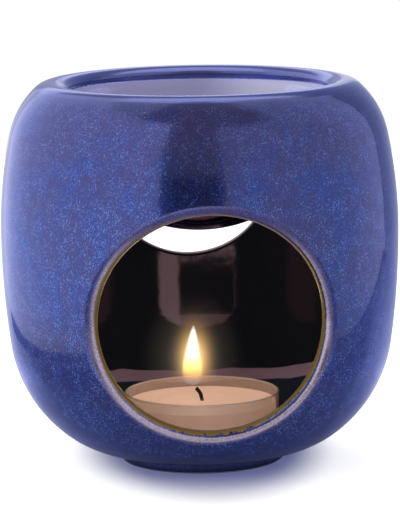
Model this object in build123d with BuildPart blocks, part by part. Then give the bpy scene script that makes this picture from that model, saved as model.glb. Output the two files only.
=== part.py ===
from build123d import *
import os
from math import acos, cos, degrees, radians, sin, tan

# Sizes are in millimetres and angles in degrees. The foot stands on Z = 0 and the front faces -Y.

# Foot ring, set in by a narrow ledge from where the body's outline starts
foot_radius = 20.2
foot_ledge = 0.8
foot_height = 2.8
foot_width = 3.8
foot_recess = 1.6
foot_edge_radius = 1.3
foot_inner_edge_radius = 0.5
foot_root_radius = 0.5

# Burner body: its outline is a chain of tangent arcs, from the ledge out to the widest ring and in to the lip
base_radius = 23.9
base_angle = 32.3
haunch_radius = 33.15
haunch_angle = 45.6
flank_low_radius = 197.0
flank_low_angle = 8.1
flank_high_radius = 112.0
flank_high_angle = 12.3
shoulder_radius = 21.7
shoulder_angle = 34.6
lip_radius = 5.6
body_wall = 4.2
floor_height = 5.8
floor_edge_radius = 3.0

# Front opening for the tealight, and the rear vent
opening_radius = 26.4
opening_height = 40.5
opening_edge_radius = 2.3
vent_radius = 20.5
vent_height = 64.7
vent_edge_radius = 2.0
inner_edge_radius = 0.9

# Oil basin
basin_wall = 4.9
basin_draft = 7.0

# Tealight
cup_radius = 19.0
cup_height = 11.0
cup_draft = 1.8
cup_wall = 0.6
cup_floor = 0.7
cup_edge_radius = 1.1
cup_corner_radius = 0.8
cup_rim_round_share = 0.36
wax_drop = 2.6
sustainer_radius = 6.5
sustainer_thickness = 0.3
sustainer_neck_radius = 1.3
sustainer_neck_height = 3.4
sustainer_root_radius = 0.4
wick_radius = 0.45
wick_bend_radius = 4.6
wick_bend_angle = 46.0

# How far a cut runs past what it cuts
overrun = 2.0


def rise(radius, start_angle, end_angle):
    return radius * (sin(radians(end_angle)) - sin(radians(start_angle)))


def draw_in(radius, start_angle, end_angle):
    return radius * (cos(radians(start_angle)) - cos(radians(end_angle)))


# Heights and radii that follow from the outline's arcs
haunch_end_angle = flank_low_angle + haunch_angle
base_end_angle = haunch_end_angle + base_angle
shoulder_end_angle = flank_high_angle + shoulder_angle
quarter_angle = 90.0

body_radius = (
    foot_radius
    + foot_ledge
    + draw_in(base_radius, haunch_end_angle, base_end_angle)
    + draw_in(haunch_radius, flank_low_angle, haunch_end_angle)
    + draw_in(flank_low_radius, 0, flank_low_angle)
)
widest_height = (
    foot_height
    + rise(flank_low_radius, 0, flank_low_angle)
    + rise(haunch_radius, flank_low_angle, haunch_end_angle)
    + rise(base_radius, haunch_end_angle, base_end_angle)
)
crown_height = (
    widest_height
    + rise(flank_high_radius, 0, flank_high_angle)
    + rise(shoulder_radius, flank_high_angle, shoulder_end_angle)
    + rise(lip_radius, shoulder_end_angle, quarter_angle)
)
neck_radius = (
    body_radius
    - draw_in(flank_high_radius, 0, flank_high_angle)
    - draw_in(shoulder_radius, flank_high_angle, shoulder_end_angle)
    - draw_in(lip_radius, shoulder_end_angle, quarter_angle)
)
neck_base = (
    widest_height
    + rise(flank_high_radius - body_wall, 0, flank_high_angle)
    + rise(shoulder_radius - body_wall, flank_high_angle, shoulder_end_angle)
)

# The bowl's round inside runs tangent into the lip
bowl_reach = neck_radius / cos(radians(basin_draft))
bowl_radius = bowl_reach - lip_radius
bowl_centre = crown_height - lip_radius + bowl_reach * sin(radians(basin_draft))
bowl_angle = quarter_angle - basin_draft
underside_radius = bowl_radius + basin_wall
underside_angle = degrees(acos((bowl_centre - neck_base) / underside_radius))

# The tealight stands on the floor, on the burner's axis
cup_base_radius = cup_radius - cup_height * tan(radians(cup_draft))
cup_floor_height = floor_height + cup_floor
wax_height = floor_height + cup_height - wax_drop
seat_plane = Plane(origin=(0, 0, floor_height), x_dir=(1, 0, 0), z_dir=(0, -1, 0))

os.makedirs("parts", exist_ok=True)


# Burner body: the openings are cut and rounded while it is solid, and the chamber is hollowed after them
with BuildPart() as burner_body:
    with BuildSketch(Plane.XZ):
        with BuildLine():
            flank_low = JernArc((body_radius, widest_height), (0, -1), flank_low_radius, -flank_low_angle)
            haunch = JernArc(flank_low @ 1, flank_low % 1, haunch_radius, -haunch_angle)
            base = JernArc(haunch @ 1, haunch % 1, base_radius, -base_angle)
            flank_high = JernArc((body_radius, widest_height), (0, 1), flank_high_radius, flank_high_angle)
            shoulder = JernArc(flank_high @ 1, flank_high % 1, shoulder_radius, shoulder_angle)
            lip = JernArc(shoulder @ 1, shoulder % 1, lip_radius, quarter_angle - shoulder_end_angle)
            Polyline(lip @ 1, (0, crown_height), (0, foot_height), base @ 1)
        make_face()
    revolve(axis=Axis.Z)

    # Foot ring with a shallow recess inside it
    with BuildSketch():
        Circle(foot_radius)
    extrude(amount=floor_height)
    foot_edges = edges(Select.NEW).filter_by(GeomType.CIRCLE).sort_by(Axis.Z)
    fillet(foot_edges[-1], foot_root_radius)
    fillet(edges().sort_by(Axis.Z)[0], foot_edge_radius)
    with BuildSketch():
        Circle(foot_radius - foot_width)
    extrude(amount=foot_recess, mode=Mode.SUBTRACT)
    fillet(edges().group_by(Axis.Z)[0].sort_by(SortBy.RADIUS)[0], foot_inner_edge_radius)

    # Front opening
    with BuildSketch(Plane.XZ):
        with Locations((0, opening_height)):
            Circle(opening_radius)
    extrude(amount=body_radius + overrun, mode=Mode.SUBTRACT)
    opening_edges = edges(Select.NEW).filter_by(GeomType.LINE, reverse=True)
    fillet(opening_edges.filter_by(GeomType.CIRCLE, reverse=True), opening_edge_radius)

    # Rear vent
    with BuildSketch(Plane.XZ):
        with Locations((0, vent_height)):
            Circle(vent_radius)
    extrude(amount=-body_radius - overrun, mode=Mode.SUBTRACT)
    vent_edges = edges(Select.NEW).filter_by(GeomType.LINE, reverse=True)
    fillet(vent_edges.filter_by(GeomType.CIRCLE, reverse=True), vent_edge_radius)

    # Chamber: its wall follows the outline, and its floor is flat under the tealight
    with BuildSketch(Plane.XZ) as chamber:
        with BuildLine():
            inner_start = (body_radius - body_wall, widest_height)
            inner_low = JernArc(inner_start, (0, -1), flank_low_radius - body_wall, -flank_low_angle)
            inner_haunch = JernArc(inner_low @ 1, inner_low % 1, haunch_radius - body_wall, -haunch_angle)
            inner_high = JernArc(inner_start, (0, 1), flank_high_radius - body_wall, flank_high_angle)
            inner_shoulder = JernArc(inner_high @ 1, inner_high % 1, shoulder_radius - body_wall, shoulder_angle)
            slope_start = inner_haunch @ 1
            floor_reach = slope_start.X - (slope_start.Y - floor_height) * tan(radians(haunch_end_angle))
            floor_end = (floor_reach, floor_height)
            Polyline(slope_start, floor_end, (0, floor_height), (0, neck_base), inner_shoulder @ 1)
        make_face()
        fillet(chamber.vertices().group_by(Axis.Y)[0].sort_by(Axis.X)[-1], floor_edge_radius)
    revolve(axis=Axis.Z, mode=Mode.SUBTRACT)
    rims = edges(Select.NEW).filter_by(GeomType.LINE, reverse=True).filter_by(GeomType.CIRCLE, reverse=True)
    fillet(rims, inner_edge_radius)

    # Neck that the basin is luted into
    with BuildSketch(Plane.XY.offset(neck_base)):
        Circle(neck_radius)
    extrude(amount=lip_radius + overrun, mode=Mode.SUBTRACT)

burner_body.part.label = "burner_body"
export_step(burner_body.part, "parts/burner_body.step")


# Oil basin: a round bowl whose rim completes the lip
with BuildPart() as oil_basin:
    with BuildSketch(Plane.XZ):
        with BuildLine():
            inner_lip = JernArc((neck_radius, crown_height), (-1, 0), lip_radius, bowl_angle)
            bowl = JernArc(inner_lip @ 1, inner_lip % 1, bowl_radius, -bowl_angle)
            basin_base = bowl_centre - underside_radius
            underside = JernArc((0, basin_base), (1, 0), underside_radius, underside_angle)
            Line(bowl @ 1, (0, basin_base))
            Polyline(underside @ 1, (neck_radius, neck_base), (neck_radius, crown_height))
        make_face()
    revolve(axis=Axis.Z)

oil_basin.part.label = "oil_basin"
export_step(oil_basin.part, "parts/oil_basin.step")


def cup_hollow(mode):
    inner_radius = cup_base_radius - cup_wall + cup_floor * tan(radians(cup_draft))
    top = cup_height + overrun
    top_radius = cup_base_radius - cup_wall + top * tan(radians(cup_draft))
    with BuildSketch(seat_plane) as hollow:
        with BuildLine():
            Polyline((0, cup_floor), (inner_radius, cup_floor), (top_radius, top), (0, top), close=True)
        make_face()
        fillet(hollow.vertices().group_by(Axis.Y)[0].sort_by(Axis.X)[-1], cup_corner_radius)
    revolve(hollow.sketch, axis=Axis.Z, mode=mode)


# Tealight cup
with BuildPart() as tealight_cup:
    with BuildSketch(seat_plane) as cup_outline:
        with BuildLine():
            Polyline((0, 0), (cup_base_radius, 0), (cup_radius, cup_height), (0, cup_height), close=True)
        make_face()
        fillet(cup_outline.vertices().group_by(Axis.Y)[0].sort_by(Axis.X)[-1], cup_edge_radius)
    revolve(axis=Axis.Z)
    cup_hollow(Mode.SUBTRACT)
    fillet(edges().group_by(Axis.Z)[-1], cup_wall * cup_rim_round_share)

tealight_cup.part.label = "tealight_cup"
export_step(tealight_cup.part, "parts/tealight_cup.step")


# Wick sustainer: a round tab with a neck crimped on the wick
with BuildPart() as wick_sustainer:
    with BuildSketch(Plane.XY.offset(cup_floor_height)):
        Circle(sustainer_radius)
    extrude(amount=sustainer_thickness)
    with BuildSketch(Plane.XY.offset(cup_floor_height)):
        Circle(sustainer_neck_radius)
    extrude(amount=sustainer_neck_height)
    neck_edges = edges(Select.NEW).filter_by(GeomType.CIRCLE).sort_by(Axis.Z)
    fillet(neck_edges[0], sustainer_root_radius)
    with BuildSketch(Plane.XY.offset(cup_floor_height)):
        Circle(wick_radius)
    extrude(amount=sustainer_neck_height, mode=Mode.SUBTRACT)

wick_sustainer.part.label = "wick_sustainer"
export_step(wick_sustainer.part, "parts/wick_sustainer.step")


# Wick: upright in the wax, and bent over by burning above it
with BuildPart() as tealight_wick:
    with BuildLine(seat_plane) as wick_path:
        stem = Line((0, cup_floor), (0, cup_height - wax_drop))
        JernArc(stem @ 1, stem % 1, wick_bend_radius, wick_bend_angle)
    with BuildSketch(Plane.XY.offset(cup_floor_height)):
        Circle(wick_radius)
    sweep(path=wick_path.wires()[0])

tealight_wick.part.label = "tealight_wick"
export_step(tealight_wick.part, "parts/tealight_wick.step")


# Wax fill, around the wick and its sustainer
with BuildPart() as tealight_wax:
    cup_hollow(Mode.ADD)
    split(bisect_by=Plane.XY.offset(wax_height), keep=Keep.BOTTOM)
    add(wick_sustainer.part, mode=Mode.SUBTRACT)
    add(tealight_wick.part, mode=Mode.SUBTRACT)

tealight_wax.part.label = "tealight_wax"
export_step(tealight_wax.part, "parts/tealight_wax.step")
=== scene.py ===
import bmesh
import bpy
from math import cos, pi, radians, sin, sqrt
from mathutils import Matrix, Vector


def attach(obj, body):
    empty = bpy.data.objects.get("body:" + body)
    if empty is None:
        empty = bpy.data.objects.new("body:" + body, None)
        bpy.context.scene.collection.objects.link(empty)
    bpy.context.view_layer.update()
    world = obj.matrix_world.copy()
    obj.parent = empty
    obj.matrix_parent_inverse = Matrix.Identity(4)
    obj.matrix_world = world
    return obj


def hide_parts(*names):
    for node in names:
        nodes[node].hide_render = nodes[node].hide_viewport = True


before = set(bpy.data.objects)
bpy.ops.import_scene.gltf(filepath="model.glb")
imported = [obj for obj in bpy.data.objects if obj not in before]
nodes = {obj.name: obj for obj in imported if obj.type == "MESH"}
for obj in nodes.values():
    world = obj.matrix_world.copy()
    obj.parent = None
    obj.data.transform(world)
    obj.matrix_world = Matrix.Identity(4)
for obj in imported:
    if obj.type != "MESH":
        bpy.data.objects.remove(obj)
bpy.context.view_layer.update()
mm = 0.001
black = (0, 0, 0, 1)
white = (1, 1, 1, 1)
scene = bpy.context.scene
scene.view_settings.view_transform = "Standard"
print("frame loaded:", len(nodes), "CAD nodes")


class Wire:  # a node's output; arithmetic on it adds Math nodes
    def __init__(self, tree, socket=None):
        self.tree = tree
        self.socket = socket

    def node(self, kind, settings=None, sockets=None, out=0):
        made = self.tree.nodes.new(kind)
        for name, value in (settings or {}).items():
            setattr(made, name, value)
        for name, value in (sockets or {}).items():
            if isinstance(value, Wire):
                self.tree.links.new(value.socket, made.inputs[name])
            else:
                made.inputs[name].default_value = value
        return Wire(self.tree, made.outputs[out] if made.outputs else None)

    def other(self, out):
        return Wire(self.tree, self.socket.node.outputs[out])

    def maths(self, operation, first, second=0.0):
        return self.node("ShaderNodeMath", {"operation": operation}, {0: first, 1: second})

    def __add__(self, value):
        return self.maths("ADD", self, value)

    def __radd__(self, value):
        return self.maths("ADD", value, self)

    def __sub__(self, value):
        return self.maths("SUBTRACT", self, value)

    def __rsub__(self, value):
        return self.maths("SUBTRACT", value, self)

    def __mul__(self, value):
        return self.maths("MULTIPLY", self, value)

    def __rmul__(self, value):
        return self.maths("MULTIPLY", value, self)

    def __truediv__(self, value):
        return self.maths("DIVIDE", self, value)

    def __abs__(self):
        return self.maths("ABSOLUTE", self)

    def root(self):
        return self.maths("SQRT", self)

    def step(self, low, high):  # 0 at low, 1 at high, smooth between them
        limits = {"Value": self, "From Min": low, "From Max": high}
        return self.node("ShaderNodeMapRange", {"interpolation_type": "SMOOTHSTEP"}, limits)

    def band(self, low, high, soft):  # 1 between low and high
        return self.step(low - soft, low + soft) * (1 - self.step(high - soft, high + soft))

    def mix(self, first, second):  # colours, by this factor
        return self.node("ShaderNodeMix", {"data_type": "RGBA"}, {0: self, 6: first, 7: second}, out=2)


def startMaterial(name):
    material = bpy.data.materials.new(name)
    material.use_nodes = True
    material.node_tree.nodes.clear()
    return material, Wire(material.node_tree)


def endMaterial(start, shader):
    start.node("ShaderNodeOutputMaterial", None, {"Surface": shader})


def endPrincipled(material, start, values):
    endMaterial(start, start.node("ShaderNodeBsdfPrincipled", None, values))
    return material


def objectPlace(start):
    return start.node("ShaderNodeTexCoord", out="Object")


def splitPlace(place):  # its x, y and z
    x = place.node("ShaderNodeSeparateXYZ", None, {0: place})
    return x, x.other(1), x.other(2)


def noise(place, scale, detail=2.0, roughness=0.5, distortion=0.0):
    values = {"Vector": place, "Scale": scale, "Detail": detail, "Roughness": roughness}
    return place.node("ShaderNodeTexNoise", None, values | {"Distortion": distortion})


def stretched(place, scale):
    return place.node("ShaderNodeMapping", None, {"Vector": place, "Scale": scale})


def bumped(start, height, strength, distance):
    values = {"Height": height, "Strength": strength, "Distance": distance}
    return start.node("ShaderNodeBump", None, values)


def rgb(red, green, blue):  # display colour, 0 to 255, to a linear node colour
    shares = [value / 255 for value in (red, green, blue)]
    return tuple(s / 12.92 if s <= 0.04045 else ((s + 0.055) / 1.055) ** 2.4 for s in shares) + (1.0,)


def addObject(name, data):
    made = bpy.data.objects.new(name, data)
    scene.collection.objects.link(made)
    return made


def addMesh(mesh, name, material):
    data = bpy.data.meshes.new(name)
    mesh.to_mesh(data)
    mesh.free()
    data.materials.append(material)
    return addObject(name, data)


def finishPiece(mesh, name, material, body, slot, *replaced):
    piece = addMesh(mesh, name, material)
    for polygon in piece.data.polygons:
        polygon.use_smooth = True
    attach(piece, body)
    if replaced:
        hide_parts(*replaced)
    return piece


def dressNode(name, material):
    nodes[name].data.materials.clear()
    nodes[name].data.materials.append(material)


def spun(profile, steps):  # a closed shape of revolution from points (radius, height)
    mesh = bmesh.new()
    corners = [mesh.verts.new((radius, 0, height)) for radius, height in profile]
    edges = [mesh.edges.new(pair) for pair in zip(corners, corners[1:])]
    bmesh.ops.spin(
        mesh,
        geom=corners + edges,
        cent=(0, 0, 0),
        axis=(0, 0, 1),
        angle=2 * pi,
        steps=steps,
        use_merge=True,
    )
    bmesh.ops.remove_doubles(mesh, verts=mesh.verts, dist=0.00001 * mm)
    bmesh.ops.recalc_face_normals(mesh, faces=mesh.faces)
    return mesh


def arcPoints(centre, radius, startAngle, endAngle, count):  # degrees from +X, in the (radius, height) plane
    turns = [radians(startAngle + (endAngle - startAngle) * i / count) for i in range(count + 1)]
    return [(centre[0] + radius * cos(t), centre[1] + radius * sin(t)) for t in turns]


# Camera: where the photograph was taken from
cameraLook = {
    "distance": 0.8,
    "height": 0.1772,
    "turn": 0.061,  # radians, as the next two
    "pitch": 0.157,
    "roll": -0.014,
    "lens": 233.2,
    "sensor": 36,
}


def addCamera(look):
    data = bpy.data.cameras.new("photoCamera")
    data.lens = look["lens"]
    data.sensor_width = look["sensor"]
    camera = addObject("photoCamera", data)
    side = -look["distance"] * sin(look["turn"])
    back = -look["distance"] * cos(look["turn"])
    camera.matrix_world = (
        Matrix.Translation((side, back, look["height"]))
        @ Matrix.Rotation(-look["turn"], 4, "Z")
        @ Matrix.Rotation(pi / 2 - look["pitch"], 4, "X")
        @ Matrix.Rotation(look["roll"], 4, "Z")
    )
    scene.camera = camera


addCamera(cameraLook)
print("camera placed")


# Studio: soft panels to the left and right, a bright backdrop, a dark gap at the camera, and a pale floor
leftBend = {"rise": 0.096, "growth": 0.00086, "limit": 62}  # how a zone's edges rise towards the back
rightBend = {"rise": 0.19, "growth": 0.003, "limit": 28}


def lightZone(azimuth, elevation, soft, glow, bend=None):
    return {"azimuth": azimuth, "elevation": elevation, "soft": soft, "glow": glow, "bend": bend}


studio = {
    "zones": {  # azimuth from the front towards +X and elevation, in degrees; later ones cover
        "backdrop": lightZone((-200, 200), (-100, 100), 1, (0.98, 0.98, 1.05)),
        "behind": lightZone((175.9, 200), (0, 30), 0.7, (0.52, 0.50, 0.66)),
        "behindLeft": lightZone((-200, -170), (-3, 14), 1, (0.50, 0.50, 0.58)),
        "skyLine": lightZone((-200, 200), (15, 27), 3, (1.8, 1.8, 1.9)),
        "skyDark": lightZone((-200, 200), (29, 50), 3, (0.6, 0.6, 0.65)),
        "overhead": lightZone((-200, 200), (51, 80), 3, (1.15, 1.15, 1.15)),
        "overLeft": lightZone((-200, -135), (51, 80), 3, (2.7, 2.7, 2.7)),
        "overRight": lightZone((135, 200), (51, 80), 3, (2.7, 2.7, 2.7)),
        "zenith": lightZone((-200, 200), (80, 100), 3, (0.5, 0.45, 0.5)),
        "ceiling": lightZone((-65, 65), (-30, 84), 5, (0.58, 0.49, 0.47)),
        "farRight": lightZone((131, 168), (-100, 45), 3, (0.72, 0.78, 1.0)),
        "farRightHigh": lightZone((131, 168), (-10.5, 45), 2.5, (0.46, 0.50, 0.66)),
        "leftPanel": lightZone((-160, -26), (-45, 58), 1.5, (1.7, 1.7, 1.75)),
        "rightPanel": lightZone((11, 130), (-45, 51), 1.2, (1.05, 1.05, 1.1)),
        "rightFar": lightZone((98, 130), (-45, 51), 1.2, (1.2, 1.2, 1.3)),
        "underLeft": lightZone((-200, 0), (-100, -20.4), 1, (0.42, 0.47, 0.70), leftBend),
        "underRight": lightZone((0, 200), (-100, -17.6), 1, (0.42, 0.47, 0.70), rightBend),
        "backLeft": lightZone((-200, -132), (-80, -20.4), 8, (1.0, 1.05, 1.3), leftBend),
        "backRight": lightZone((117, 200), (-80, -20.5), 4, (0.85, 0.90, 1.15), rightBend),
        "leftLine": lightZone((-156, -26), (-20.95, -19.95), 0.2, (0.02, 0.02, 0.04), leftBend),
        "rightLine": lightZone((60, 133), (-18.0, -17.2), 0.2, (0.20, 0.20, 0.25), rightBend),
        "table": lightZone((-26, 11), (-20, -1), 1.0, (1.3, 1.3, 1.3)),
        "gap": lightZone((-26, 11), (-1, 12), 1.5, (0.0, 0.0, 0.01)),
        "rightEdge": lightZone((129.5, 132), (-8, 50), 0.8, (0.32, 0.33, 0.40)),
    },
    "bendStart": 100,  # the azimuth on either side from which edges bend
    "floorRadius": 0.6,
    "floorSides": 128,
    "plate": (0.050, 0.095),  # how much of the floor the glaze mirrors, fading out
    "paper": (0.52, 0.55, 0.66, 1.0),
    "paperSeen": (0.71, 0.71, 0.61, 1.0),
    "shade": (0.045, 0.055, 0.20, 1.0),  # painted shadow colour: lifts the shadow and tints it blue
    "lift": (0.65, 0.65, 0.70, 1.0),  # brings the rest of the floor to white
    "shadowCentre": (0.8 * mm, 30 * mm),
    "shadowSpan": (28.5 * mm, 75 * mm),
    "shadowBack": 2.2,  # how much shorter the shadow is at the back
    "shadowFade": (0.80, 1.25),
}


def addWorld(look):
    world = bpy.data.worlds.new("studioWorld")
    scene.world = world
    world.use_nodes = True
    world.node_tree.nodes.clear()
    start = Wire(world.node_tree)
    x, y, z = splitPlace(start.node("ShaderNodeTexCoord", out="Generated"))
    azimuth = start.maths("ARCTAN2", x, 0 - y) * (180 / pi)
    elevation = start.maths("ARCSINE", z) * (180 / pi)
    glow = black
    for zone in look["zones"].values():
        height = elevation
        bend = zone["bend"]
        if bend:
            turn = start.maths("MINIMUM", abs(azimuth) - look["bendStart"], bend["limit"])
            height = elevation - turn * (bend["rise"] + bend["growth"] * turn)
        mask = azimuth.band(*zone["azimuth"], zone["soft"]) * height.band(*zone["elevation"], zone["soft"])
        glow = mask.mix(glow, zone["glow"] + (1,))
    seen = start.node("ShaderNodeLightPath", out="Is Camera Ray")
    shader = start.node("ShaderNodeBackground", None, {"Color": seen.mix(glow, white), "Strength": 1.0})
    start.node("ShaderNodeOutputWorld", None, {"Surface": shader})


def addFloor(look):  # white to the camera, with a cool shadow partly painted on; the glaze mirrors only a plate of it
    material, start = startMaterial("paleFloor")
    x, y = splitPlace(objectPlace(start))[:2]
    reach = (x * x + y * y).root()
    # painted shadow: the floor is lifted to white only outside an ellipse round the foot, shorter at the
    # back
    wide = (x - look["shadowCentre"][0]) / look["shadowSpan"][0]
    deep = (y - look["shadowCentre"][1]) / look["shadowSpan"][1]
    deep = start.maths("MAXIMUM", 0 - deep, look["shadowBack"] * deep)
    fade = (wide * wide + deep * deep).root().step(*look["shadowFade"])
    seen = start.node("ShaderNodeLightPath", out="Is Camera Ray")
    paper = start.node("ShaderNodeBsdfDiffuse", None, {"Color": seen.mix(look["paper"], look["paperSeen"])})
    lift = fade.mix(look["shade"], look["lift"])
    glow = start.node("ShaderNodeEmission", None, {"Color": lift, "Strength": seen})
    lit = start.node("ShaderNodeAddShader", None, {0: paper, 1: glow})
    mirrored = start.node("ShaderNodeLightPath", out="Is Glossy Ray")
    beyond = mirrored * reach.step(*look["plate"])
    clear = start.node("ShaderNodeBsdfTransparent")
    endMaterial(start, start.node("ShaderNodeMixShader", None, {0: beyond, 1: lit, 2: clear}))
    mesh = bmesh.new()
    bmesh.ops.create_circle(mesh, cap_ends=True, segments=look["floorSides"], radius=look["floorRadius"])
    floor = addMesh(mesh, "floor", material)


addWorld(studio)
addFloor(studio)
print("studio lit")


# Water with oil in the basin, filled to just under the brim
water = {
    "level": 91.92 * mm,
    "edge": 31.75 * mm,
    "flatInset": 2.2 * mm,
    "meniscus": 0.08 * mm,
    "meniscusInset": 0.8 * mm,
    "meniscusShare": 0.3,
    "bowlRadius": 29.8 * mm,
    "bowlHeight": 92.58 * mm,
    "bowlArc": (-6, -90, 24),  # degrees, and steps
    "sides": 96,
    "tint": (0.80, 0.82, 0.95, 1.0),
    "shine": (0.80, 0.80, 1.0, 1.0),
    "roughness": 0.04,
    "ior": 1.36,
    "rippleScale": 60,
    "ripple": (0.05, 0.3 * mm),  # strength and height
    "paintedShadeReach": (8 * mm, 11 * mm),  # from the far edge
    "paintedShadeDepth": 0.8,
}


def makeWater(look):
    material, start = startMaterial("water_and_oil")
    place = objectPlace(start)
    x, y = splitPlace(place)[:2]
    ripple = bumped(start, noise(place, look["rippleScale"], detail=1), *look["ripple"])
    shiny = {"Color": look["shine"], "Roughness": look["roughness"], "Normal": ripple}
    gloss = start.node("ShaderNodeBsdfGlossy", None, shiny)
    clear = start.node("ShaderNodeBsdfTransparent", None, {"Color": look["tint"]})
    gap = (look["edge"] ** 2 - x * x).root() - y  # from the far edge, where the reflection is dimmed: painted shade
    paintedShade = 1 - gap.step(*look["paintedShadeReach"])
    shine = start.node("ShaderNodeFresnel", None, {"IOR": look["ior"], "Normal": ripple})
    shine = shine * (1 - look["paintedShadeDepth"] * paintedShade)
    endMaterial(start, start.node("ShaderNodeMixShader", None, {0: shine, 1: clear, 2: gloss}))
    return material


def addWater(look):
    level = look["level"]
    flat = look["edge"] - look["flatInset"]
    profile = [(0, level), (flat * 0.5, level), (flat, level)]
    profile += [(look["edge"] - look["meniscusInset"], level + look["meniscusShare"] * look["meniscus"])]
    profile += [(look["edge"], level + look["meniscus"])]
    profile += arcPoints((0, look["bowlHeight"]), look["bowlRadius"], *look["bowlArc"])
    finishPiece(spun(profile, look["sides"]), "water_and_oil", makeWater(look), "burner", "basin_glaze")


addWater(water)
print("basin filled")


# Glaze over the body and the basin: blue with crystal flecks, paler on the lip
glaze = {
    "deep": (0.018, 0.034, 0.190, 1.0),
    "violet": (0.036, 0.032, 0.130, 1.0),
    "fleck": (0.115, 0.240, 0.680, 1.0),
    "lip": (0.068, 0.080, 0.222, 1.0),
    "darkLine": rgb(22, 24, 52),
    "inside": (0.088, 0.050, 0.050, 1.0),
    "sheenTint": (0.50, 0.56, 1.0, 1.0),
    "cloudScale": 70,
    "streakScale": 420,
    "streakStretch": (1, 1, 0.16),
    "streakShare": 0.35,
    "highFade": (70 * mm, 90 * mm),  # more violet from here up
    "highShare": 0.10,
    "toneEdge": (0.38, 0.64),
    "darkEdge": (0.52, 0.30),
    "darkShare": 0.5,
    "fleckScale": 3900,
    "fineShare": 0.25,
    "grainEdge": (0.44, 0.78),
    "grainShare": 0.42,
    "dotScale": 2500,
    "dotStretch": (1, 1, 0.7),
    "dotSpread": 0.20,
    "dotEdge": (0.34, 0.12),
    "dotLeast": 0.4,
    "dotShare": 0.55,
    "clusterScale": 308,
    "clusterEdge": (0.34, 0.66),
    "clusterLeast": 0.40,
    "lowFleckLightFade": (36 * mm, 14 * mm),  # flecks brighter from here down: painted light for the light the floor throws up
    "lowFleckLight": 0.6,
    "topFade": (60 * mm, 78 * mm),  # fewer flecks from here up
    "topLess": 0.25,
    "lipFade": (90.5 * mm, 92.9 * mm),
    "lipLess": 0.6,
    "lipShare": 0.45,
    "metal": 0.85,
    "fleckMatt": 0.4,
    "roughness": 0.20,
    "insideGloss": 0.12,
    "coat": (0.5, 0.1),  # plain, and more with the clouds
    "coatRoughness": 0.03,
    "coatIor": 1.36,
    "waveScale": 160,
    "wave": (0.12, 0.4 * mm),  # strength and height
}


def blueGlaze(look, place, z):
    cloud = noise(place, look["cloudScale"], detail=4, roughness=0.6, distortion=0.4)
    flow = stretched(place, look["streakStretch"])
    streak = noise(flow, look["streakScale"], detail=3, roughness=0.6, distortion=0.3)
    flecks = noise(place, look["fleckScale"], roughness=0.6)
    fine = noise(place, look["fleckScale"] * 2, detail=1)
    cell = {"Vector": stretched(place, look["dotStretch"]), "Scale": look["dotScale"]}
    dots = place.node("ShaderNodeTexVoronoi", None, cell)
    size = place.node("ShaderNodeSeparateColor", None, {0: dots.other("Color")})
    bright = look["dotLeast"] + (1 - look["dotLeast"]) * size.other(1)
    dots = (dots - look["dotSpread"] * size).step(*look["dotEdge"]) * bright
    clusters = noise(place, look["clusterScale"], roughness=0.6).step(*look["clusterEdge"])
    dense = look["clusterLeast"] + (1 - look["clusterLeast"]) * clusters
    grain = (flecks + look["fineShare"] * (fine - 0.5)).step(*look["grainEdge"])
    lip = z.step(*look["lipFade"])
    crystal = (look["grainShare"] * grain + look["dotShare"] * dots) * dense
    # painted light: flecks brighter low on the body
    crystal = crystal * (1 + look["lowFleckLight"] * z.step(*look["lowFleckLightFade"]))
    crystal = crystal * (1 - look["lipLess"] * lip) * (1 - look["topLess"] * z.step(*look["topFade"]))
    mottle = (1 - look["streakShare"]) * cloud + look["streakShare"] * streak
    tone = (mottle - look["highShare"] * z.step(*look["highFade"])).step(*look["toneEdge"])
    colour = tone.mix(look["violet"], look["deep"])
    colour = (look["darkShare"] * fine.step(*look["darkEdge"])).mix(colour, look["darkLine"])
    colour = crystal.mix(colour, look["fleck"])
    return (lip * (look["lipShare"] + look["lipShare"] * streak)).mix(colour, look["lip"]), crystal, cloud


def coatValues(look, start, place, cloud, outside):  # what the shaders of the body and the basin share
    wave = noise(place, look["waveScale"])
    return {
        "Coat Weight": outside * (look["coat"][0] + look["coat"][1] * cloud),
        "Coat Roughness": look["coatRoughness"],
        "Coat IOR": look["coatIor"],
        "Specular Tint": look["sheenTint"],
        "Normal": bumped(start, wave, *look["wave"]),
    }


# Edges of the front opening and the rear vent, where the glaze breaks pale, dark and gold; the pale band,
# widest at the bottom and missing at the top, is partly a painted reflection of the bright studio on the
# rounded edge
opening = {"radius": 26.4 * mm, "height": 40.5 * mm}
vent = {"radius": 20.5 * mm, "height": 64.7 * mm}
edgeBands = {
    "pale": rgb(190, 176, 188),
    "tan": rgb(150, 122, 124),
    "gold": rgb(128, 102, 52),
    "dullGold": rgb(112, 96, 98),  # above the opening
    "rightEdge": (-0.5, 0.5),
    "lowEdge": (0.95, 0.45),  # everywhere but at the top
    "underEdge": (0.0, -0.9),
    "shoulder": (0.05, 0.85, 0.25),  # the upper left
    "grainScale": 1900,
    "grainReach": 0.6 * mm,
    "underShift": 0.45 * mm,
    "underWide": 0.32 * mm,
    "shoulderWide": 0.45 * mm,
    "speckleScale": 3600,
    "speckleEdge": (0.36, 0.66),
    "paleRight": 0.15 * mm,
    "paleInner": (0.6 * mm, 0.9 * mm),
    "paleOuter": (2.1 * mm, 1.1 * mm),
    "paleShare": (0.48, 0.50),  # plain, and more on the speckles
    "tanBand": (0.7 * mm, 2.5 * mm, 0.7 * mm),
    "tanShare": (0.20, 0.17),  # at the top, and more elsewhere
    "lineBand": (0.42 * mm, 0.86 * mm, 0.12 * mm),
    "goldEdge": (0.62 * mm, 0.82 * mm),
    "goldRight": 0.10 * mm,  # narrower on the right
    "goldRightEdge": (-0.6, -0.9),
    "goldLeft": 0.18 * mm,  # wider on the left
    "goldShoulder": 0.35 * mm,
    "tickScale": 1300,
    "tickStretch": (1, 0.3, 0.3),
    "tickReach": 1.8 * mm,
    "tickEdge": (-0.4, -0.8),
}


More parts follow.
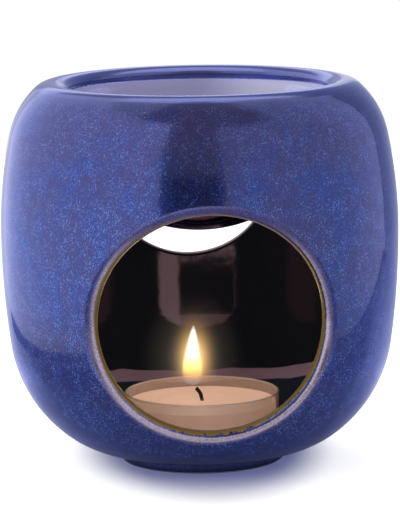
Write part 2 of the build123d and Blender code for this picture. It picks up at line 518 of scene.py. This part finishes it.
def rimBands(look, darkLine, colour, place, hole, x, z):  # by distance from an opening's round edge
    drop = z - hole["height"]
    span = (x * x + drop * drop).root()
    aim = drop / span  # 1 straight above the middle, -1 straight below it
    right = (x / span).step(*look["rightEdge"])
    low = aim.step(*look["lowEdge"])
    under = aim.step(*look["underEdge"])
    shoulder = aim.band(*look["shoulder"]) * (1 - right)
    grain = noise(place, look["grainScale"], detail=3, roughness=0.7)
    gap = span - hole["radius"] + look["grainReach"] * (grain - 0.5)
    reach = gap - look["underShift"] * under
    wide = look["underWide"] * under + look["shoulderWide"] * shoulder
    speckle = noise(place, look["speckleScale"], roughness=0.6).step(*look["speckleEdge"])
    inner = (reach - look["paleRight"] * right).step(*look["paleInner"])
    # pale band: glaze break and painted reflection of the studio, wider at the bottom and missing at the top
    pale = (reach - wide).step(*look["paleOuter"]) * inner * low
    pale = pale * (look["paleShare"][0] + look["paleShare"][1] * speckle)
    tan = reach.band(*look["tanBand"]) * (look["tanShare"][0] + look["tanShare"][1] * low)
    line = reach.band(*look["lineBand"]) * right * low
    narrow = look["goldRight"] * right * (1 - aim.step(*look["goldRightEdge"]))
    narrow = narrow - look["goldLeft"] * (1 - right) - look["goldShoulder"] * shoulder
    ticks = noise(stretched(place, look["tickStretch"]), look["tickScale"], roughness=0.6) - 0.5
    ticks = look["tickReach"] * ticks * aim.step(*look["tickEdge"])
    gold = 1 - (gap + narrow + ticks).step(*look["goldEdge"])
    colour = tan.mix(colour, look["tan"])
    colour = pale.mix(colour, look["pale"])
    colour = line.mix(colour, darkLine)
    colour = gold.mix(colour, low.mix(look["dullGold"], look["gold"]))
    return colour, span.maths("MAXIMUM", gold, span.maths("MAXIMUM", pale, tan))


# Body: brown black inside, with a thin pinkish band low on the wall, near black below it, and bare clay
# underneath
chamber = {
    "thin": rgb(168, 134, 149),
    "lowDark": (0.006, 0.005, 0.005, 1.0),
    "glow": (0.0012, 0.0026, 0.0036, 1.0),  # painted light: the inside glows faintly, which lifts the black a little
    "clay": rgb(186, 180, 186),
    "halves": (-1 * mm, 1 * mm),  # the front's edge bands, then the back's
    "wallFade": (3.3 * mm, 3.8 * mm),  # depth in from the outer surface
    "floorReach": (25 * mm, 26 * mm),
    "floorFade": (4 * mm, 5 * mm),
    "metal": 0.86,
    "tideScale": 45,
    "tideHeight": 14.4 * mm,
    "tideTilt": 0.2,
    "tideBack": 35 * mm,
    "tideWave": 5 * mm,
    "tideBand": (-1.6 * mm, 1.4 * mm, 0.2 * mm),
    "tideMatt": 0.35,
    "lowDarkFade": (-1.8 * mm, -1.4 * mm),
    "lowDarkMatt": 0.7,
    "footLightFade": (2.4 * mm, 3.0 * mm),
    "footLightShare": 0.8,
    "footFade": (0.35 * mm, 0.5 * mm),
    "footMatt": 0.6,
}
outline = [  # arcs of the body's outline from the base up, with the slope of the surface at both ends
    {"radius": 23.9 * mm, "slopes": (-86.0, -53.7)},
    {"radius": 33.15 * mm, "slopes": (-53.7, -8.1)},
    {"radius": 197.0 * mm, "slopes": (-8.1, 0.0)},
    {"radius": 112.0 * mm, "slopes": (0.0, 12.3)},
    {"radius": 21.7 * mm, "slopes": (12.3, 46.9)},
    {"radius": 5.6 * mm, "slopes": (46.9, 90.0)},
]
outlineStart = Vector((21.0 * mm, 2.8 * mm))  # radius and height
outlineBlend = 0.01 * mm


def slopeNormal(angle):
    return Vector((cos(radians(angle)), sin(radians(angle))))


def wallDepth(across, z):  # distance in from the outer surface, by the arc that a point's height falls in
    point = outlineStart
    depth = 0.0
    for arc in outline:
        first, last = arc["slopes"]
        centre = point - arc["radius"] * slopeNormal(first)
        side = across - centre.x
        rise = z - centre.y
        reach = arc["radius"] - (side * side + rise * rise).root()
        depth = depth + z.step(point.y - outlineBlend, point.y + outlineBlend) * (reach - depth)
        point = centre + arc["radius"] * slopeNormal(last)
    return depth


def makeBodyGlaze(look, bands, hollow):
    material, start = startMaterial("body_glaze")
    place = objectPlace(start)
    x, y, z = splitPlace(place)
    across = (x * x + y * y).root()
    colour, crystal, cloud = blueGlaze(look, place, z)
    frontColour, frontBreak = rimBands(bands, look["darkLine"], colour, place, opening, x, z)
    backColour, backBreak = rimBands(bands, look["darkLine"], colour, place, vent, x, z)
    behind = y.step(*hollow["halves"])
    colour = behind.mix(frontColour, backColour)
    broken = frontBreak + behind * (backBreak - frontBreak)
    onFloor = (1 - across.step(*hollow["floorReach"])) * z.step(*hollow["floorFade"])
    inside = start.maths("MAXIMUM", wallDepth(across, z).step(*hollow["wallFade"]), onFloor)
    wave = noise(place, hollow["tideScale"])
    tideHeight = z - hollow["tideHeight"] - hollow["tideTilt"] * (hollow["tideBack"] - y)
    tideHeight = tideHeight + hollow["tideWave"] * (wave - 0.5)
    tide = tideHeight.band(*hollow["tideBand"])
    lowDarkness = 1 - tideHeight.step(*hollow["lowDarkFade"])
    inner = tide.mix(lowDarkness.mix(look["inside"], hollow["lowDark"]), hollow["thin"])
    colour = inside.mix(colour, inner)
    # painted light: the glaze is lighter near the foot
    ring = hollow["footLightShare"] * (1 - z.step(*hollow["footLightFade"]))
    colour = ring.mix(colour, look["lip"])
    foot = 1 - z.step(*hollow["footFade"])
    outside = (1 - inside) * (1 - foot)
    outerMetal = outside * (1 - broken) * (look["metal"] - look["fleckMatt"] * crystal)
    outerMatt = look["roughness"] + hollow["footMatt"] * foot
    matt = hollow["tideMatt"] * tide + hollow["lowDarkMatt"] * lowDarkness
    values = {
        "Base Color": foot.mix(colour, hollow["clay"]),
        "Metallic": outerMetal + inside * hollow["metal"] * (1 - lowDarkness - tide),
        "Roughness": outerMatt - look["insideGloss"] * inside + inside * matt,
        # painted light: a faint glow over the inside of the chamber
        "Emission Color": inside.mix(black, hollow["glow"]),
        "Emission Strength": 1.0,
    }
    return endPrincipled(material, start, values | coatValues(look, start, place, cloud, outside))


# Basin: blue like the body, and brown black where its underside hangs in the chamber
basin = {
    "underReach": (32.0 * mm, 33.5 * mm),
    "underFade": (86.0 * mm, 88.5 * mm),
}


def makeBasinGlaze(look, bowl):
    material, start = startMaterial("basin_glaze")
    place = objectPlace(start)
    x, y, z = splitPlace(place)
    colour, crystal, cloud = blueGlaze(look, place, z)
    rise = z - water["bowlHeight"]
    span = (x * x + y * y + rise * rise).root()
    under = span.step(*bowl["underReach"]) * (1 - z.step(*bowl["underFade"]))
    values = {
        "Base Color": under.mix(colour, look["inside"]),
        "Metallic": under + (1 - under) * (look["metal"] - look["fleckMatt"] * crystal),
        "Roughness": look["roughness"] - look["insideGloss"] * under,
    }
    return endPrincipled(material, start, values | coatValues(look, start, place, cloud, 1 - under))


dressNode("burner_body", makeBodyGlaze(glaze, edgeBands, chamber))
dressNode("oil_basin", makeBasinGlaze(glaze, basin))
print("glaze fired")


# Tealight cup, frosted and warm with the light of the wax
cup = {
    "tint": (0.72, 0.54, 0.46, 1.0),
    "rim": (0.90, 0.86, 0.82, 1.0),
    "rimFade": (16.3 * mm, 16.8 * mm),
    "rimShare": 0.5,
    "hazeScale": 300,
    "hazeStretch": (1, 1, 0.15),
    "roughness": (0.30, 0.15),  # plain, and more with haze
    "alpha": (0.31, 0.06, 0.25),  # plain, more with haze, and more at the rim
    "ior": 1.5,
}


def makeCup(look):
    material, start = startMaterial("frosted_cup")
    place = objectPlace(start)
    z = splitPlace(place)[2]
    haze = noise(stretched(place, look["hazeStretch"]), look["hazeScale"])
    rim = z.step(*look["rimFade"])
    values = {
        "Base Color": (look["rimShare"] * rim).mix(look["tint"], look["rim"]),
        "Roughness": look["roughness"][0] + look["roughness"][1] * haze,
        "IOR": look["ior"],
        "Alpha": look["alpha"][0] + look["alpha"][1] * haze + look["alpha"][2] * rim,
    }
    return endPrincipled(material, start, values)


# Wax, lit by the flame's lamp, with a painted glow for the light the flame sends through it, drawn up a
# little at the cup and at the wick
wax = {
    "colour": (0.29, 0.19, 0.14, 1.0),
    "pale": (0.33, 0.23, 0.17, 1.0),
    "paleEdge": (0.3, 0.7),
    "light": (0.46, 0.275, 0.188, 1.0),
    "scatter": 0.8,
    "scatterRadius": (0.012, 0.006, 0.003),
    "floor": 6.5 * mm,
    "level": 14.05 * mm,
    "radius": 18.05 * mm,
    "flare": 0.0314,  # the cup's draft
    "sides": 96,
    "meniscus": 0.12 * mm,
    "meniscusReach": 1.4 * mm,
    "meniscusShares": (0.3, 0.6, 1.0),
    "wickMeniscus": 0.15 * mm,
    "wickReach": 3,  # in radii of the wick
    "poolRadius": 9 * mm,
    "poolFade": 2 * mm,
    "poolWave": 3 * mm,
    "cloudScale": 160,
    "roughness": (0.42, 0.15, 0.10),  # plain, more with the clouds, and less on the pool
    "dimpleScale": 260,
    "dimple": (0.06, 0.2 * mm),  # strength and height
}

# Wick: twisted cotton strands, charred above the wax
wick = {
    "charred": rgb(18, 14, 13),
    "waxed": rgb(150, 118, 92),
    "charFade": (0.1 * mm, 1.4 * mm),  # above the wax
    "charWave": 0.6 * mm,
    "roughness": (0.6, 0.3),  # waxed, and more where charred
    "weaveScale": 3200,
    "weaveStretch": (1, 1, 0.5),
    "weave": (0.5, 0.2 * mm),  # strength and height
    "radius": 0.50 * mm,
    "strands": 3,
    "strandDepth": 0.16,
    "twist": 1.1 / mm,  # radians along the wick
    "bend": 4.6 * mm,
    "angle": 46,
    "rings": 60,
    "sides": 18,
}


def makeWax(look):
    material, start = startMaterial("wax")
    place = objectPlace(start)
    x, y = splitPlace(place)[:2]
    cloud = noise(place, look["cloudScale"], detail=3, roughness=0.55)
    reach = (x * x + y * y).root() + look["poolWave"] * (cloud - 0.5)
    pool = 1 - reach.step(look["poolRadius"], look["poolRadius"] + look["poolFade"])
    plain, clouded, molten = look["roughness"]
    values = {
        "Base Color": cloud.step(*look["paleEdge"]).mix(look["colour"], look["pale"]),
        "Roughness": plain + clouded * cloud - molten * pool,
        # painted light: the wax glows as if lit through by the flame
        "Emission Color": look["light"],
        "Emission Strength": 1.0,
        "Subsurface Weight": look["scatter"],
        "Subsurface Radius": look["scatterRadius"],
        "Subsurface Scale": 1.0,
        "Normal": bumped(start, noise(place, look["dimpleScale"]), *look["dimple"]),
    }
    return endPrincipled(material, start, values)


def addWax(look, wickRadius):
    level = look["level"]
    rim = look["radius"] + look["flare"] * (level - look["floor"])
    profile = [(0, look["floor"]), (look["radius"], look["floor"]), (rim, level + look["meniscus"])]
    for share in look["meniscusShares"]:
        profile += [(rim - share * look["meniscusReach"], level + look["meniscus"] * (1 - share) ** 2)]
    profile += [(look["poolRadius"], level), (look["wickReach"] * wickRadius, level)]
    profile += [(wickRadius, level + look["wickMeniscus"]), (0, level + look["wickMeniscus"])]
    finishPiece(spun(profile, look["sides"]), "wax_fill", makeWax(look), "tealight", "wax", "tealight_wax")


def makeWick(look, level):
    material, start = startMaterial("charred_wick")
    place = objectPlace(start)
    z = splitPlace(place)[2]
    weave = noise(stretched(place, look["weaveStretch"]), look["weaveScale"], roughness=0.6)
    char = (z + look["charWave"] * weave).step(level + look["charFade"][0], level + look["charFade"][1])
    values = {
        "Base Color": char.mix(look["waxed"], look["charred"]),
        "Roughness": look["roughness"][0] + look["roughness"][1] * char,
        "Normal": bumped(start, weave, *look["weave"]),
    }
    return endPrincipled(material, start, values)


def addWick(look, floor, level):  # twisted strands, upright in the wax and bent over above it
    straight = level - floor
    bent = look["bend"] * radians(look["angle"])
    sides = look["sides"]
    mesh = bmesh.new()
    previous = None
    for i in range(look["rings"] + 1):
        along = (straight + bent) * i / look["rings"]
        lean = max(0.0, along - straight) / look["bend"]
        centre = Vector((-look["bend"] * (1 - cos(lean)), 0, floor + min(along, straight)))
        centre.z += look["bend"] * sin(lean)
        across = Vector((cos(lean), 0, sin(lean)))
        ring = []
        for k in range(sides):
            turn = 2 * pi * k / sides
            groove = 0.5 - 0.5 * cos(look["strands"] * (turn - look["twist"] * along))
            reach = look["radius"] * (1 - look["strandDepth"] * groove)
            outward = cos(turn) * across + sin(turn) * Vector((0, 1, 0))
            ring.append(mesh.verts.new(centre + reach * outward))
        if previous:
            for k in range(sides):
                mesh.faces.new((previous[k - 1], previous[k], ring[k], ring[k - 1]))
        else:
            mesh.faces.new(ring)
        previous = ring
    mesh.faces.new(previous)
    bmesh.ops.recalc_face_normals(mesh, faces=mesh.faces)
    finishPiece(mesh, "twisted_wick", makeWick(look, level), "tealight", "wick", "tealight_wick")


# Steel tab under the wick
tab = {
    "steel": (0.62, 0.60, 0.57, 1.0),
    "tin": rgb(178, 176, 172),
    "grainScale": 2200,
    "roughness": (0.25, 0.2),  # plain, and more with the grain
    "grain": (0.1, 0.1 * mm),  # strength and height
}


def makeSteel(look):
    material, start = startMaterial("tinned_steel")
    grain = noise(objectPlace(start), look["grainScale"], detail=3, roughness=0.6)
    values = {
        "Base Color": grain.mix(look["steel"], look["tin"]),
        "Metallic": 1.0,
        "Roughness": look["roughness"][0] + look["roughness"][1] * grain,
        "Normal": bumped(start, grain, *look["grain"]),
    }
    return endPrincipled(material, start, values)


dressNode("tealight_cup", makeCup(cup))
dressNode("wick_sustainer", makeSteel(tab))
addWax(wax, wick["radius"])
addWick(wick, wax["floor"], wax["level"])
print("tealight dressed")


# Flame: three glowing shells, and its glow on an upright disc that faces the opening
flame = {
    "base": 18.1 * mm,
    "height": 15.0 * mm,
    "radius": 2.5 * mm,
    "belly": 0.14,  # widest from here up, in shares of the height
    "taper": 0.62,  # drawn in over this share at the top
    "taperPower": 0.70,
    "rows": 28,
    "sides": 32,
    "shift": -2.3 * mm,
    "lean": 0.45 * mm,
    "light": 0.0056,
    "warmth": (1.0, 0.80, 0.66),
    "blue": rgb(170, 165, 190),
    "amber": rgb(238, 178, 92),
    "yellow": rgb(253, 234, 128),
    "white": rgb(255, 254, 250),
    "amberFade": (0.04, 0.20),
    "yellowFade": (0.16, 0.36),
    "leastAlpha": 0.06,
    "shells": {  # from the inside out
        "flame_core": {
            "width": 0.78, "rise": 0.89, "alpha": 0.95,
            "glow": 2.2, "start": (0.20, 0.46), "pale": (0.38, 0.62),
        },
        "flame_body": {
            "width": 0.90, "rise": 0.95, "alpha": 0.40,
            "glow": 1.7, "start": (0.13, 0.36), "pale": (0.30, 0.70),
        },
        "flame_edge": {
            "width": 1.00, "rise": 1.00, "alpha": 0.22,
            "glow": 1.3, "start": (0.08, 0.28), "pale": (0.10, 1.20),
        },
    },
    "haloHeight": 24.6 * mm,
    "haloBelow": 0.5 * mm,  # its cut edge, under the flame's base
    "haloAbove": 4 * mm,  # full from here up
    "haloSides": 64,
    "haloSpan": (2.35 * mm, 4.6 * mm),
    "haloFade": (1.2, 3.2),  # in spans
    "haloColour": (1.25, 0.70, 0.22, 1.0),
    "haloFall": 0.194,
    "haloShare": 0.6,
    "haloMost": 0.7,
    "glowSpan": (2.35 * mm, 3.1 * mm),
    "glowFade": (4.0, 6.0),
    "glowColour": (1.0, 0.80, 0.64, 1.0),
    "glowFall": 0.45,
    "glowShare": 0.134,
}


def makeFlame(look, name, shell):
    material, start = startMaterial(name)
    z = splitPlace(objectPlace(start))[2]
    climb = (z - look["base"]) / look["height"]
    warm = climb.step(*look["amberFade"]).mix(look["blue"], look["amber"])
    warm = climb.step(*look["yellowFade"]).mix(warm, look["yellow"])
    solid = look["leastAlpha"] + (1 - look["leastAlpha"]) * climb.step(*shell["start"])
    values = {
        "Base Color": black,
        "Specular IOR Level": 0.0,
        "Emission Color": climb.step(*shell["pale"]).mix(warm, look["white"]),
        "Emission Strength": shell["glow"],
        "Alpha": shell["alpha"] * solid,
    }
    return endPrincipled(material, start, values)


def spansOut(side, rise, span):  # distance from the middle, in spans
    wide = side / span[0]
    tall = rise / span[1]
    return (wide * wide + tall * tall).root()


def makeHalo(look):
    material, start = startMaterial("flame_halo")
    x, _, z = splitPlace(objectPlace(start))
    rise = z - look["haloHeight"]
    reach = spansOut(x - look["shift"] - look["lean"], rise, look["haloSpan"])
    near = look["haloShare"] * start.maths("POWER", look["haloFall"], reach - 1)
    near = start.maths("MINIMUM", near, look["haloMost"]) * (1 - reach.step(*look["haloFade"]))
    reach = spansOut(x - look["shift"], rise, look["glowSpan"])
    far = look["glowShare"] * start.maths("POWER", look["glowFall"], reach - 1)
    far = far * (1 - reach.step(*look["glowFade"]))
    above = z.step(look["base"] - look["haloBelow"], look["base"] + look["haloAbove"])
    values = {
        "Base Color": black,
        "Specular IOR Level": 0.0,
        "Emission Color": (far / (near + far)).mix(look["haloColour"], look["glowColour"]),
        "Emission Strength": 1.0,
        "Alpha": (near + far) * above,
    }
    return endPrincipled(material, start, values)


def flameProfile(look, shell):  # round at the base, widest low down, drawn to a point
    points = []
    for i in range(look["rows"] + 1):
        climb = i / look["rows"]
        belly = sqrt(max(0.0, 1 - (1 - climb / look["belly"]) ** 2)) if climb < look["belly"] else 1.0
        taper = min(1.0, (1 - climb) / look["taper"]) ** look["taperPower"]
        height = look["base"] + look["height"] * shell["rise"] * climb
        points.append((look["radius"] * shell["width"] * belly * taper, height))
    return points


def addFlame(look):
    for name, shell in look["shells"].items():
        mesh = spun(flameProfile(look, shell), look["sides"])
        for corner in mesh.verts:
            climb = (corner.co.z - look["base"]) / look["height"]
            corner.co.x += look["shift"] + look["lean"] * climb ** 2
        piece = finishPiece(mesh, name, makeFlame(look, name, shell), "tealight", "wick")
        piece.visible_shadow = False


def addHalo(look):
    mesh = bmesh.new()
    upright = Matrix.Translation((look["shift"], 0, look["haloHeight"])) @ Matrix.Rotation(pi / 2, 4, "X")
    bmesh.ops.create_circle(mesh, cap_ends=True, segments=look["haloSides"], radius=look["glowFade"][1])
    bmesh.ops.scale(mesh, verts=mesh.verts, vec=(look["glowSpan"][0], look["glowSpan"][1], 1))
    bmesh.ops.transform(mesh, verts=mesh.verts, matrix=upright)
    parts = mesh.verts[:] + mesh.edges[:] + mesh.faces[:]
    low = (0, 0, look["base"] - look["haloBelow"])
    bmesh.ops.bisect_plane(mesh, geom=parts, plane_co=low, plane_no=(0, 0, 1), clear_inner=True)
    piece = finishPiece(mesh, "flame_halo", makeHalo(look), "tealight", "wick")
    piece.visible_shadow = False
    return piece


def addLamp(look, halo):  # rides on the halo
    data = bpy.data.lights.new("flameLamp", "POINT")
    data.energy = look["light"]
    data.color = look["warmth"]
    data.shadow_soft_size = look["radius"]
    lamp = addObject("flameLamp", data)
    lamp.parent = halo
    lamp.location = (look["shift"], 0, look["base"] + 0.5 * look["height"])


addFlame(flame)
addLamp(flame, addHalo(flame))
print("flame lit")
